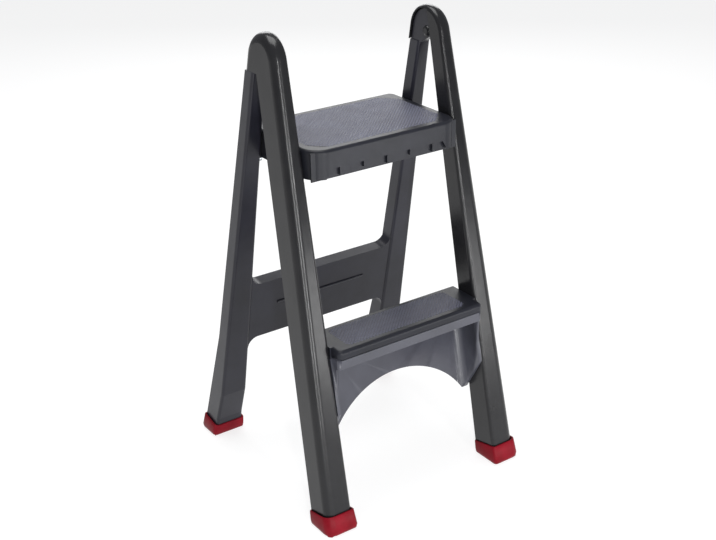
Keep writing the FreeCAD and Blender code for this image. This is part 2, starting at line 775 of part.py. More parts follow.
def make_arch_panel():
    """The arched web with its flange, its lip below the nosing and its front corners."""
    top = size("lower_step_top") - size("lower_skirt")
    half = size("front_inner_low") + 5
    back = front_line(top, size("web_offset") + WALL)
    lip = step_front() - size("nosing_reach") + size("lip_setback")
    shoulder = step_front()
    corner = size("nosing_corner") - size("lip_setback")

    flange = new_body("arch_flange")
    add_pad(flange, "arch_flange_plate", "XY_Plane", top - WALL, WALL, box_outline(half, shoulder, back))
    trim_to_front_legs(flange, "arch_flange_ends")

    lip_top = size("lower_step_top") - size("nosing_height") - size("groove")
    lip_low = lip_top - size("lip_height")
    corners, arcs = rounded_front(NOSING_HALF, lip, shoulder, corner)
    lip_bar = new_body("arch_lip")
    add_pad(lip_bar, "arch_lip_bar", "XY_Plane", lip_low, size("lip_height"), corners, arcs)
    corners = box_outline(NOSING_HALF - WALL, lip + WALL, shoulder + 1)
    add_pocket(lip_bar, "arch_lip_hollow", "XY_Plane", lip_low, top - WALL - lip_low, corners)

    foot = size("corbel_foot")
    front = lip + corner
    behind = WALL * 2
    corbels = new_body("arch_corbels")
    for side, start in (("right", NOSING_HALF - WALL), ("left", -NOSING_HALF)):
        add_pad(corbels, "arch_corbel_" + side, "YZ_Plane", start, WALL, [
            (front, top), (front, lip_low),
            (front_line(foot, -size("dome_radius")) + size("side_wall_setback"), foot),
            (front_line(foot, -size("dome_radius")) + behind, foot),
            (front_line(top, -size("dome_radius")) + behind, top),
        ])
    whole = fuse("arch_panel_form", [make_arch_web(top), flange, lip_bar, corbels])

    arch = doc.addObject("Part::Cylinder", "arch_cut")
    bind(arch, "Radius", size("arch_radius"))
    bind(arch, "Height", HEIGHT)
    arch.Placement = FreeCAD.Placement(V(0, 0, 0), FreeCAD.Rotation(V(1, 0, 0), 90))
    bind(arch, "Placement.Base.y", HEIGHT / 2)
    bind(arch, "Placement.Base.z", size("arch_top") - size("arch_radius"))
    doc.recompute()
    return combine("Cut", "arch_panel", whole, arch)


# Upper step

def upper_outline(inset):
    half = UPPER_HALF - inset
    front, rear = size("upper_front") + inset, size("upper_rear") - inset
    near, back = size("front_corner") - inset, size("rear_corner") - inset
    corners = [
        (-half, rear - back), (-half, front + near), (-half + near, front), (half - near, front),
        (half, front + near), (half, rear - back), (half - back, rear), (-half + back, rear),
    ]
    arcs = {
        1: ((-half + near, front + near), near),
        3: ((half - near, front + near), near),
        5: ((half - back, rear - back), back),
        7: ((-half + back, rear - back), back),
    }
    return corners, arcs


def make_upper_step():
    top, depth = size("upper_step_top"), size("upper_depth")
    bottom = top - depth
    under_plate = top - WALL
    body = new_body("upper_step_form")
    add_pad(body, "upper_block", "XY_Plane", bottom, depth, *upper_outline(length(0)))
    add_fillet(body, "upper_edge_round", size("edge_round"),
               lambda e: all(abs(v.Z - top.value) < 0.01 for v in e.Vertexes))
    add_pocket(body, "upper_hollow", "XY_Plane", bottom, depth - WALL, *upper_outline(WALL))
    wide, slope = size("skirt_cut_half"), size("skirt_cut_slope")
    skirt = top - size("skirt_depth")
    add_pocket(body, "skirt_cut", "XZ_Plane", -ACROSS, ACROSS * 2,
               [(-wide, bottom), (wide, bottom), (wide - slope, skirt), (slope - wide, skirt)])
    rib = size("rib")
    front, rear = size("upper_front") + WALL, size("upper_rear") - WALL
    for number in range(-2, 3):
        deep = size("deep_rib_extra") if number % 2 == 0 else length(0)
        low = top - size("upper_rib_depth") - deep
        add_pad(body, f"upper_rib_{number + 2}", "XY_Plane", low, under_plate - low + 0.5,
                strip(size("upper_rib_pitch") * number, rib, front - 0.5, rear + 0.5))
    inside = UPPER_HALF - WALL + 0.5
    for name, y, down in (("front_cross_rib", size("cross_rib_y"), size("cross_rib_depth")),
                          ("middle_cross_rib", size("middle_rib_y"), size("upper_rib_depth"))):
        low = top - down
        add_pad(body, name, "XY_Plane", low, under_plate - low + 0.5,
                box_outline(inside, y - rib / 2, y + rib / 2))
    y, z = STEP_PIN_Y, size("step_pin_z")
    boss_start = UPPER_HALF - WALL - size("boss_length")
    boss = rod("step_pin_boss", size("boss_radius") * 2, boss_start, UPPER_HALF - WALL / 2, y, z)
    hole = rod("step_pin_hole", size("step_pin_diameter") + size("pin_fit") * 2, boss_start - 1, UPPER_HALF + 1, y, z)
    bossed = fuse("upper_step_bossed", [body, boss, mirror_left("step_pin_boss_left", boss)])
    holes = fuse("upper_step_holes", [hole, mirror_left("step_pin_hole_left", hole)])
    return combine("Cut", "upper_step", bossed, holes)


# Rear legs

SHOULDER = PIN_Z - size("hood_drop") - GAP


def rear_leg_front(z, flared):
    step = size("flare_front") if flared else length(0)
    return rear_line(z, size("rear_face_offset")) + step


def rear_leg_back(z, flared):
    step = size("flare_rear") if flared else length(0)
    return rear_line(z, size("dome_radius")) + step


def rear_leg_block(name, thickness):
    """The rear leg's outer form below its shoulder, or the space inside, open to the rear."""
    top = SHOULDER - thickness
    foot = size("leg_bottom") - thickness
    bend = size("flare_height")
    below = bend - size("flare_length")
    front_bend = below + size("front_flare_length")
    back = thickness * 4
    corners = [
        (rear_leg_front(foot, True) + thickness, foot),
        (rear_leg_front(below, True) + thickness, below),
        (rear_leg_front(front_bend, False) + thickness, front_bend),
        (rear_leg_front(top, False) + thickness, top),
        (rear_leg_back(top, False) - size("shoulder_ease") + back, top),
        (rear_leg_back(bend, False) + back, bend),
        (rear_leg_back(below, True) + back, below),
        (rear_leg_back(foot, True) + back, foot),
    ]
    body = new_body(name)
    start = size("rear_inner") + thickness
    add_pad(body, name + "_side", "YZ_Plane", start, outer_face(FLOOR) - start, corners)
    trim_outside(body, name + "_outside", thickness, ACROSS)
    return body


def round_rear_leg(body):
    """Round the upright edges of the leg's front face."""
    below = size("flare_height") - size("flare_length")
    face_x = size("rear_inner").value

    def on_front(edge):
        ys = [rear_leg_front(length(v.Z), v.Z <= below.value + 0.1).value for v in edge.Vertexes]
        return all(abs(v.Y - y) < 0.1 for v, y in zip(edge.Vertexes, ys))

    def upright(edge):
        return abs(edge.Vertexes[0].Z - edge.Vertexes[-1].Z) > 1

    add_fillet(body, body.Name + "_round", size("rear_round"), lambda e: upright(e) and on_front(e) and (
        lies_on_outer(e, 0) or all(abs(v.X - face_x) < 0.01 for v in e.Vertexes)))


def make_tongue():
    """The round-headed tongue that turns between the dome's walls."""
    radius, lean, front = size("tongue_radius"), size("rear_lean"), size("front_lean")
    root_z = SHOULDER - WALL
    corners = [
        (rear_leg_front(root_z, False), root_z),
        (rear_line(root_z, radius), root_z),
        (PIN_Y + radius * cosine(lean), PIN_Z + radius * sine(lean)),
        (PIN_Y, PIN_Z + radius),
        (PIN_Y - radius * cosine(front), PIN_Z + radius * sine(front)),
    ]
    body = new_body("tongue")
    start = size("tongue_inner")
    add_pad(body, "tongue_side", "YZ_Plane", start, size("tongue_outer") - start, corners,
            {2: ((PIN_Y, PIN_Z), radius), 3: ((PIN_Y, PIN_Z), radius)})
    return body


def make_rear_leg():
    outer = rear_leg_block("rear_leg_form", length(0))
    round_rear_leg(outer)
    core = rear_leg_block("rear_leg_core", WALL)
    leave_ribs(core, "rear_leg_ribs", size("rib_count") - 2)
    shell = combine("Cut", "rear_leg_shell", outer, core)
    tongued = fuse("rear_leg_tongued", [shell, make_tongue()])
    within = size("rear_inner") - BEYOND
    beyond = size("rear_inner") + WALL + 2
    tools = [
        *bores("tongue_bore", [(PIN_Y, PIN_Z)], size("hinge_pin_diameter"), within, size("tongue_outer") + 5),
        *bores("rest_pin_bore", [(size("rest_pin_y"), REST_PIN_Z)], size("rest_pin_diameter"), within, beyond),
        *bores("panel_screw_bore", PANEL_SCREWS, size("screw_diameter"), within, beyond),
    ]
    return combine("Cut", "rear_leg_right", tongued, fuse("rear_leg_cuts", tools))


# Rear cross panel

PANEL_LENGTH = (size("panel_high") - size("panel_low")) / cosine(size("rear_lean"))
PANEL_Y = rear_line(size("panel_low"), size("rear_face_offset")) + size("panel_setback")


def panel_place(inward, upward):
    """Y and Z of a place in the leaning panel: so far behind its face, so far up it."""
    lean = size("rear_lean")
    y = PANEL_Y + inward * cosine(lean) - upward * sine(lean)
    z = size("panel_low") + inward * sine(lean) + upward * cosine(lean)
    return y, z


PANEL_SCREWS = [
    panel_place(size("panel_depth") / 2 + 2, size("panel_screw_inset")),
    panel_place(size("panel_depth") / 2 + 2, PANEL_LENGTH - size("panel_screw_inset")),
]


def panel_outline(inset):
    """The panel seen from the front, with hollow corners against the legs."""
    half = size("rear_inner") - inset
    bend = size("rear_inner") - size("panel_fillet")
    centre_low, centre_high = -size("panel_fillet"), PANEL_LENGTH + size("panel_fillet")
    radius = size("panel_fillet") + inset
    drop = root(radius * radius - (half - bend) * (half - bend))
    low, high = centre_low + drop, centre_high - drop
    corners = [
        (-half, low), (-bend, inset), (bend, inset), (half, low),
        (half, high), (bend, PANEL_LENGTH - inset), (-bend, PANEL_LENGTH - inset), (-half, high),
    ]
    arcs = {
        0: ((-bend, centre_low), radius), 2: ((bend, centre_low), radius),
        4: ((bend, centre_high), radius), 6: ((-bend, centre_high), radius),
    }
    return corners, arcs


def make_rear_panel():
    """A tray with its open side to the rear, leaning with the rear legs."""
    depth, rib = size("panel_depth"), size("rib")
    body = new_body("rear_panel_form")
    add_pad(body, "panel_block", "XZ_Plane", -depth, depth, *panel_outline(length(0)))
    add_pocket(body, "panel_tray", "XZ_Plane", -depth, depth - WALL, *panel_outline(WALL))
    middle = PANEL_LENGTH / 2
    half = size("rear_inner")
    ridge = size("ridge_height")
    low_edge = middle + size("ridge_rise") - ridge / 2
    add_pad(body, "panel_ridge", "XZ_Plane", 0, size("ridge_depth"),
            box_outline(size("ridge_half"), low_edge, low_edge + ridge))
    add_fillet(body, "panel_ridge_round", size("ridge_depth") * 0.9,
               lambda e: all(abs(v.Y + size("ridge_depth").value) < 0.01 for v in e.Vertexes)
               and abs(e.Vertexes[0].X - e.Vertexes[-1].X) > 1)
    rib_depth = depth - WALL * 2
    for number in range(-2, 3):
        add_pad(body, f"panel_rib_{number + 2}", "XZ_Plane", -depth + WALL, rib_depth + 0.5,
                strip(size("panel_ribs") * number, rib, WALL - 0.5, PANEL_LENGTH - WALL + 0.5))
    add_pad(body, "panel_long_rib", "XZ_Plane", -depth + WALL, rib_depth + 0.5,
            box_outline(half - 1, middle - rib / 2, middle + rib / 2))
    lean = size("rear_lean")
    body.Placement = FreeCAD.Placement(V(0, 0, 0), FreeCAD.Rotation(V(1, 0, 0), lean.value))
    bind(body, "Placement.Rotation.Angle", lean)
    bind(body, "Placement.Base.y", PANEL_Y)
    bind(body, "Placement.Base.z", size("panel_low"))
    doc.recompute()
    inside = half - WALL
    bosses = [rod(f"panel_screw_boss_{number}", size("screw_boss") * 2, inside - size("screw_length") - 4,
                  inside + 0.5, y, z) for number, (y, z) in enumerate(PANEL_SCREWS)]
    bosses += [mirror_left(boss.Label + "_left", boss) for boss in bosses]
    holes = bores("panel_screw_hole", PANEL_SCREWS, size("screw_diameter"), inside - size("screw_length") - 1,
                  half + 5)
    holes += [mirror_left(hole.Label + "_left", hole) for hole in holes]
    bossed = fuse("rear_panel_bossed", [body] + bosses)
    return combine("Cut", "rear_cross_panel", bossed, fuse("rear_panel_holes", holes))


# Feet

def front_foot_sides(z):
    """Rear, front, inner and outer boundary of a front leg at a height."""
    return channel_line(z), front_line(z, -size("dome_radius")), front_inner_face(z), outer_face(z)


def rear_foot_sides(z):
    return rear_leg_back(z, True), rear_leg_front(z, True), size("rear_inner"), outer_face(z)


def tapered_block(name, sides, low, high, low_grow, high_grow):
    """A block between two levels that follows the leg's four sides, grown by so much."""
    body = new_body(name)
    sketches = []
    for level, grow, part in ((low, low_grow, "low"), (high, high_grow, "high")):
        rear, front, inner, outer = sides(level)
        sketch = new_sketch(body, "XY_Plane", level, f"{name}_{part}")
        draw_outline(sketch, [(inner - grow, front - grow), (outer + grow, front - grow),
                              (outer + grow, rear + grow), (inner - grow, rear + grow)])
        sketches.append(sketch)
    loft = body.newObject("PartDesign::AdditiveLoft", name + "_loft")
    loft.Profile = sketches[0]
    loft.Sections = [sketches[1]]
    loft.Ruled = True
    doc.recompute()
    return body


def slanted_cut(body, name, sides, rise, lean, keep_below):
    """Cut a foot square to its leg's lean, at a height on the leg's middle."""
    rear, front, inner, outer = sides(rise)
    reach = BEYOND
    tangent = sine(lean) / cosine(lean)
    half = (rear - front) / 2 + reach
    near, far = front - reach, rear + reach
    slope = tangent * half
    end = rise + BEYOND * 2 if keep_below else rise - BEYOND * 2
    add_pocket(body, name, "YZ_Plane", length(0), HEIGHT / 2,
               [(near, rise + slope), (far, rise - slope), (far, end), (near, end)])


def make_foot(label, sides, lean):
    wall, flare, rim = size("foot_wall"), size("foot_flare"), size("foot_rim")
    top = size("foot_height")
    tall = top * 2
    form = tapered_block(label + "_form", sides, FLOOR, tall, wall + flare, wall)
    slanted_cut(form, label + "_top", sides, top, lean, True)
    band = tapered_block(label + "_band", sides, FLOOR, tall, wall + rim, wall + rim)
    slanted_cut(band, label + "_band_top", sides, top, lean, True)
    slanted_cut(band, label + "_band_low", sides, top - size("rim_height"), lean, False)
    for body in (form, band):
        add_fillet(body, body.Label + "_round", size("foot_round"),
                   lambda e: abs(e.Vertexes[0].Z - e.Vertexes[-1].Z) > 2.5
                   and abs(e.Vertexes[0].X - e.Vertexes[-1].X) < 4
                   and abs(e.Vertexes[0].Y - e.Vertexes[-1].Y) < abs(e.Vertexes[0].Z - e.Vertexes[-1].Z))
    fit = size("foot_fit")
    socket = tapered_block(label + "_socket", sides, size("leg_bottom"), tall + BEYOND, fit, fit)
    return combine("Cut", label, fuse(label + "_solid", [form, band]), socket)


# All pieces

front_leg = make_front_leg()
rear_leg = make_rear_leg()
paired = [
    front_leg,
    rear_leg,
    make_foot("front_foot_right", front_foot_sides, size("front_lean")),
    make_foot("rear_foot_right", rear_foot_sides, -size("rear_lean")),
    make_hinge_pin(),
    make_step_pin(),
    make_step_pin_clip(),
    make_rest_pin(),
]
pieces = paired + [mirror_left(piece.Label.replace("_right", "_left"), piece) for piece in paired]
pieces += [
    make_lower_step(),
    make_arch_panel(),
    make_upper_step(),
    make_rear_panel(),
    screw_group("lower_step_screws", STEP_SCREWS, [front_inner_face(z) + WALL for y, z in STEP_SCREWS]),
    screw_group("rear_panel_screws", PANEL_SCREWS, [size("rear_inner") + WALL for place in PANEL_SCREWS]),
]


# Checks and files

def check_document():
    for item in doc.Objects:
        if "Invalid" in item.State or "Error" in item.State:
            raise RuntimeError(f"{item.Label} failed: {item.State}")
    for piece in pieces:
        if piece.Shape.isNull() or not piece.Shape.isValid():
            raise RuntimeError(f"{piece.Label} has no valid shape")


doc.recompute()
check_document()
os.makedirs("parts", exist_ok=True)
for piece in pieces:
    piece.Shape.exportStep(f"parts/{piece.Label}.step")
    print(piece.Label, len(piece.Shape.Solids), round(piece.Shape.Volume / 1000, 1), "cm3")
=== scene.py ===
# %% [markdown]
# # Folding step stool chair
#
# The stool is already built as exact solids, one for each moulding and each pin. This lesson gives
# those solids the look of the real thing: charcoal polypropylene with a fine moulded grain, dark red
# feet, zinc plated pins, and the raised anti-slip pattern on both steps. Everything is in metres.

# %% Load the solids
import json
import math

import bpy
from mathutils import Matrix, Vector

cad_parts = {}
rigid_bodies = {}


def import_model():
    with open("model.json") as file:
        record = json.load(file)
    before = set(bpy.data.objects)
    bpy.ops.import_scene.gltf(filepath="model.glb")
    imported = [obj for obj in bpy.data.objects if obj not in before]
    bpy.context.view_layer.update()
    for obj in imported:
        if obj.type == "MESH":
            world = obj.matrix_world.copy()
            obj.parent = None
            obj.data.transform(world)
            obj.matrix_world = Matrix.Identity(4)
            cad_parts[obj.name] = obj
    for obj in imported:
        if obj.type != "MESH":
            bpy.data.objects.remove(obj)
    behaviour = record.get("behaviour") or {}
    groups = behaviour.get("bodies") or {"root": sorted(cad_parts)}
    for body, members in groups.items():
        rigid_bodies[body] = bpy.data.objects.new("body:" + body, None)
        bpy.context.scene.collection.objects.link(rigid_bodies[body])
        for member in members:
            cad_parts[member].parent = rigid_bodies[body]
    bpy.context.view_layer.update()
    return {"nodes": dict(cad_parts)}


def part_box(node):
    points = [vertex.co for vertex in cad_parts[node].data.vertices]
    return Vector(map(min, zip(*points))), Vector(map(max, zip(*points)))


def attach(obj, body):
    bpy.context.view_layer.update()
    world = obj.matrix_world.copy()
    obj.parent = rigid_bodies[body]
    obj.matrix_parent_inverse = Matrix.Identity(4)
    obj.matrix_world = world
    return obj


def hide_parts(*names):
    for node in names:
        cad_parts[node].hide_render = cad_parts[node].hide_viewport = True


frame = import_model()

MM = 0.001
nodes = frame["nodes"]

# %% [markdown]
# ## Colours and nodes
#
# Colours are picked as the hex values that one reads off a screen. Blender mixes light in linear
# values, so one small function turns a hex value to linear. A second one adds a shader node, fills in
# its settings and joins its inputs, which keeps each material short enough to read at a glance.

# %% Two helpers for materials
def linear(hex_value):
    """An sRGB hex colour as linear red, green, blue and alpha."""
    values = [int(hex_value[i:i + 2], 16) / 255 for i in (1, 3, 5)]
    return [v / 12.92 if v <= 0.04045 else ((v + 0.055) / 1.055) ** 2.4 for v in values] + [1.0]


def add_node(tree, kind, settings=None, links=None):
    """Add a node. Settings are its options or its inputs' values, links are sockets to join."""
    node = tree.nodes.new("ShaderNode" + kind)
    for name, value in (settings or {}).items():
        if name in node.inputs:
            node.inputs[name].default_value = value
        else:
            setattr(node, name, value)
    for name, socket in (links or {}).items():
        tree.links.new(socket, node.inputs[name])
    return node


def blank_material(name):
    material = bpy.data.materials.new(name)
    material.use_nodes = True
    material.node_tree.nodes.clear()
    return material, material.node_tree


def finish_material(tree, surface):
    add_node(tree, "OutputMaterial", links={"Surface": surface.outputs["BSDF"]})

# %% [markdown]
# ## The charcoal plastic
#
# The legs and both steps are injection moulded polypropylene, dyed charcoal. Three things give it
# away. Its colour is hardly ever quite even, its skin copies the fine spark-eroded grain of the steel
# mould, and thick places shrink while they cool, so long reflections waver slightly. The grain is
# about half a millimetre, too fine to show at this distance, so it is drawn three times as coarse.

# %% Moulded polypropylene
CLOUD_MM, SCUFF_MM, WAVE_MM = 60, 14, 45
CLOUD_START, CLOUD_END = 0.3, 0.75
POLISHED, DULLED = 0.06, 0.08


def moulded_polypropylene(name, shades, roughness, shine, grain_mm, grain_depth, wave_depth):
    """Depths are in millimetres. Polish and scuffs lower and raise the roughness in places."""
    material, tree = blank_material(name)
    place = add_node(tree, "TexCoord").outputs["Object"]
    cloud = add_node(tree, "TexNoise",
                     {"Scale": 1 / (CLOUD_MM * MM), "Detail": 4.0, "Roughness": 0.6},
                     {"Vector": place})
    colour = add_node(tree, "ValToRGB", links={"Fac": cloud.outputs["Fac"]})
    for stop, position, shade in zip(colour.color_ramp.elements, (CLOUD_START, CLOUD_END), shades):
        stop.position, stop.color = position, linear(shade)
    scuff = add_node(tree, "TexNoise",
                     {"Scale": 1 / (SCUFF_MM * MM), "Detail": 5.0, "Roughness": 0.7},
                     {"Vector": place})
    gloss = add_node(tree, "MapRange",
                     {"To Min": roughness - POLISHED, "To Max": roughness + DULLED},
                     {"Value": scuff.outputs["Fac"]})
    wave = add_node(tree, "TexNoise", {"Scale": 1 / (WAVE_MM * MM), "Detail": 1.0},
                    {"Vector": place})
    sink = add_node(tree, "Bump", {"Strength": 1.0, "Distance": wave_depth * MM},
                    {"Height": wave.outputs["Fac"]})
    grain = add_node(tree, "TexNoise", {"Scale": 1 / (grain_mm * MM), "Detail": 2.0},
                     {"Vector": place})
    skin = add_node(tree, "Bump", {"Strength": 1.0, "Distance": grain_depth * MM},
                    {"Height": grain.outputs["Fac"], "Normal": sink.outputs["Normal"]})
    surface = add_node(tree, "BsdfPrincipled", {"IOR": 1.49, "Specular IOR Level": shine},
                       {"Base Color": colour.outputs["Color"], "Roughness": gloss.outputs["Result"],
                        "Normal": skin.outputs["Normal"]})
    finish_material(tree, surface)
    print("material", name)
    return material

# %% [markdown]
# The mouldings come from different moulds. The legs are polished and nearly black, so they carry long
# bright lines. The steps are satin. Their studs are painted paler and bluish, a painted sheen of the
# light from above and behind, which is what the eye takes for the tread. The rear frame is painted a
# little bluer, a painted sheen of the cool light on its front faces. The apron's broad smooth web is
# painted paler, a painted reflection of the pale floor, so it reads as the palest of all.

# %% The five finishes of the plastic
leg_plastic = moulded_polypropylene("moulded_polypropylene_charcoal", ("#19191b", "#212123"),
                                    0.22, 0.32, 1.5, 0.015, 0.4)
step_plastic = moulded_polypropylene("moulded_polypropylene_steps", ("#1c1d22", "#24252c"),
                                     0.38, 0.22, 1.5, 0.03, 0.3)
# Painted sheen: the studs' paler, bluish shades stand in for light falling from above and behind.
tread_sheen_plastic = moulded_polypropylene("moulded_polypropylene_tread_painted_sheen", ("#4d4e5e", "#5a5c6e"),
                                      0.5, 0.35, 1.2, 0.04, 0.2)
# Painted sheen: the bluer shades stand in for the cool light on the rear frame's front faces.
rear_sheen_plastic = moulded_polypropylene("moulded_polypropylene_rear_frame_painted_sheen", ("#1d1d24", "#26262f"),
                                     0.3, 0.35, 1.5, 0.02, 0.4)
# Painted reflection: the paler shades stand in for the pale floor mirrored in the web.
apron_reflection_plastic = moulded_polypropylene("moulded_polypropylene_apron_painted_reflection", ("#3a3b43", "#484952"),
                                      0.3, 0.6, 1.5, 0.02, 0.6)

# %% [markdown]
# ## The feet and the pins
#
# The feet are caps of soft dark red thermoplastic rubber, pressed over the legs. Rubber has a duller
# shine than the hard plastic, and its shine varies in patches, as if polished by use. The pins and
# screws are steel with a thin bright zinc coat, whose crystals give a faint mottling.

# %% Rubber and zinc
RUBBER_CLOUD_MM, RUBBER_GRAIN_MM, RUBBER_GRAIN_DEPTH = 22, 1.2, 0.05
RUBBER_SHADES = ((0.3, "#6a0a16"), (0.72, "#7e101f"))
RUBBER_GLOSSY, RUBBER_DULL = 0.34, 0.5
ZINC_CRYSTAL_MM = 1.5
ZINC_SHADES = ("#b9bdc0", "#a6abaf")
ZINC_GLOSSY, ZINC_DULL = 0.24, 0.4


def foot_rubber():
    material, tree = blank_material("thermoplastic_rubber_dark_red")
    place = add_node(tree, "TexCoord").outputs["Object"]
    cloud = add_node(tree, "TexNoise", {"Scale": 1 / (RUBBER_CLOUD_MM * MM), "Detail": 4.0},
                     {"Vector": place})
    colour = add_node(tree, "ValToRGB", links={"Fac": cloud.outputs["Fac"]})
    for stop, (position, shade) in zip(colour.color_ramp.elements, RUBBER_SHADES):
        stop.position, stop.color = position, linear(shade)
    gloss = add_node(tree, "MapRange", {"To Min": RUBBER_GLOSSY, "To Max": RUBBER_DULL},
                     {"Value": cloud.outputs["Fac"]})
    grain = add_node(tree, "TexNoise", {"Scale": 1 / (RUBBER_GRAIN_MM * MM), "Detail": 2.0},
                     {"Vector": place})
    skin = add_node(tree, "Bump", {"Strength": 1.0, "Distance": RUBBER_GRAIN_DEPTH * MM},
                    {"Height": grain.outputs["Fac"]})
    surface = add_node(tree, "BsdfPrincipled", {"IOR": 1.5, "Specular IOR Level": 0.1},
                       {"Base Color": colour.outputs["Color"], "Roughness": gloss.outputs["Result"],
                        "Normal": skin.outputs["Normal"]})
    finish_material(tree, surface)
    return material


def zinc_plate():
    material, tree = blank_material("zinc_plated_steel")
    place = add_node(tree, "TexCoord").outputs["Object"]
    crystal = add_node(tree, "TexVoronoi", {"Scale": 1 / (ZINC_CRYSTAL_MM * MM)}, {"Vector": place})
    gloss = add_node(tree, "MapRange", {"To Min": ZINC_GLOSSY, "To Max": ZINC_DULL},
                     {"Value": crystal.outputs["Distance"]})
    colour = add_node(tree, "ValToRGB", links={"Fac": crystal.outputs["Distance"]})
    for stop, shade in zip(colour.color_ramp.elements, ZINC_SHADES):
        stop.color = linear(shade)
    surface = add_node(tree, "BsdfPrincipled", {"Metallic": 1.0},
                       {"Base Color": colour.outputs["Color"], "Roughness": gloss.outputs["Result"]})
    finish_material(tree, surface)
    return material


rubber, zinc = foot_rubber(), zinc_plate()
print("materials", rubber.name, "and", zinc.name)

# %% [markdown]
# ## Dressing the solids
#
# A solid whose shape is right only needs its material. Each solid has material slots, and giving the
# slot another material repaints it without touching the mesh.

# %% Give each solid its material
def dress(names, material):
    for name in names:
        for slot in nodes[name].material_slots:
            slot.material = material
    print(material.name, "on", len(names), "solids")


ENDS, SIDES = ("front", "rear"), ("left", "right")
dress([f"front_leg_{side}" for side in SIDES], leg_plastic)
dress(["lower_step", "upper_step"], step_plastic)
dress([f"rear_leg_{side}" for side in SIDES] + ["rear_cross_panel"], rear_sheen_plastic)
dress([f"{end}_foot_{side}" for end in ENDS for side in SIDES], rubber)
dress([f"hinge_pin_{side}" for side in SIDES], leg_plastic)
dress([f"{pin}_{side}" for pin in ("step_pin", "step_pin_clip", "rest_pin") for side in SIDES], zinc)
dress(["lower_step_screws", "rear_panel_screws"], zinc)

# %% [markdown]
# ## The rubber feet
#
# On the real stool each foot is a soft cap, widest just above the floor, with a big round corner where
# the leg's front and outer faces meet. A box is the quickest start. Its upright corners are bevelled
# while it is still square, because they are easy to find then. A cut makes a belly ring, the crown is
# turned square to the leaning leg and drawn in, and an inset sinks the middle so the leg sits in it.

# %% Helpers for modelling
def only(piece):
    """Select one object alone and make it the active one."""
    bpy.ops.object.select_all(action="DESELECT")
    piece.select_set(True)
    bpy.context.view_layer.objects.active = piece


def bake_place(piece):
    """Put the object's place into its mesh, so that the object sits unturned at the origin."""
    only(piece)
    bpy.ops.object.transform_apply(location=True, rotation=True, scale=True)


def pick(piece, kind, test):
    """In edit mode, select the vertices, edges or faces whose points all pass a test."""
    bpy.ops.object.mode_set(mode="EDIT")
    bpy.ops.mesh.select_mode(type=kind)
    bpy.ops.mesh.select_all(action="DESELECT")
    bpy.ops.object.mode_set(mode="OBJECT")
    mesh = piece.data
    if kind == "VERT":
        for vertex in mesh.vertices:
            vertex.select = test(vertex.co)
    else:
        for part in mesh.edges if kind == "EDGE" else mesh.polygons:
            part.select = all(test(mesh.vertices[i].co) for i in part.vertices)
    bpy.ops.object.mode_set(mode="EDIT")


def smooth(piece, degrees):
    """Leave edit mode and round off the shading of every edge that is flatter than an angle."""
    bpy.ops.object.mode_set(mode="OBJECT")
    only(piece)
    bpy.ops.object.shade_smooth_by_angle(angle=math.radians(degrees))


def paint(piece, material):
    piece.data.materials.clear()
    piece.data.materials.append(material)

# %% [markdown]
# The sizes are those of the caps in the picture. The crown is drawn in a little and the sole a little
# less, which leaves the belly as the widest ring. The four insets of the crown make its outer lip, its
# flat rim, the small step down and the well that takes the leg.

# %% Sizes of the feet
LEAN = {"front": math.radians(12.4), "rear": math.radians(-11.5)}
CAP_HEIGHT, CAP_BELLY = 27 * MM, 8 * MM
BIG_CORNER = {"front": 17 * MM, "rear": 8 * MM}
SMALL_CORNER = 6 * MM
CROWN_DRAW, SOLE_DRAW = 0.95, 0.97
SOLE_INSET, SOLE_LIFT, SOLE_EDGE = 3 * MM, 2.2 * MM, 0.455
CROWN_INSETS = ((1.0, 1.0), (1.6, 0), (0.6, -1.0), (0.2, -5))
NEAR = 0.1 * MM

# %% Model the four feet
def foot_block(name, shift):
    """A block that fills the solid foot's box, less the shift of its leaning crown."""
    low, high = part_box(name)
    front, rear = (low[1], high[1] - shift) if shift > 0 else (low[1] - shift, high[1])
    x, y = (low[0] + high[0]) / 2, (front + rear) / 2
    wide, deep = high[0] - low[0], rear - front
    bpy.ops.object.select_all(action="DESELECT")
    bpy.ops.mesh.primitive_cube_add(size=1, location=(x, y, CAP_HEIGHT / 2),
                                    scale=(wide, deep, CAP_HEIGHT))
    cap = bpy.context.object
    cap.name = name + "_cap"
    bake_place(cap)
    return cap, x, y, wide, deep


def round_corners(cap, end, outward, x, y, wide, deep):
    pick(cap, "EDGE", lambda co: (co.x - x) * outward > 0 and co.y < y)
    bpy.ops.mesh.bevel(offset=BIG_CORNER[end], segments=8, affect="EDGES")
    for sign_x, sign_y in ((outward, 1), (-outward, 1), (-outward, -1)):
        edge_x, edge_y = x + sign_x * wide / 2, y + sign_y * deep / 2
        pick(cap, "EDGE", lambda co: abs(co.x - edge_x) < NEAR and abs(co.y - edge_y) < NEAR)
        bpy.ops.mesh.bevel(offset=SMALL_CORNER, segments=4, affect="EDGES")


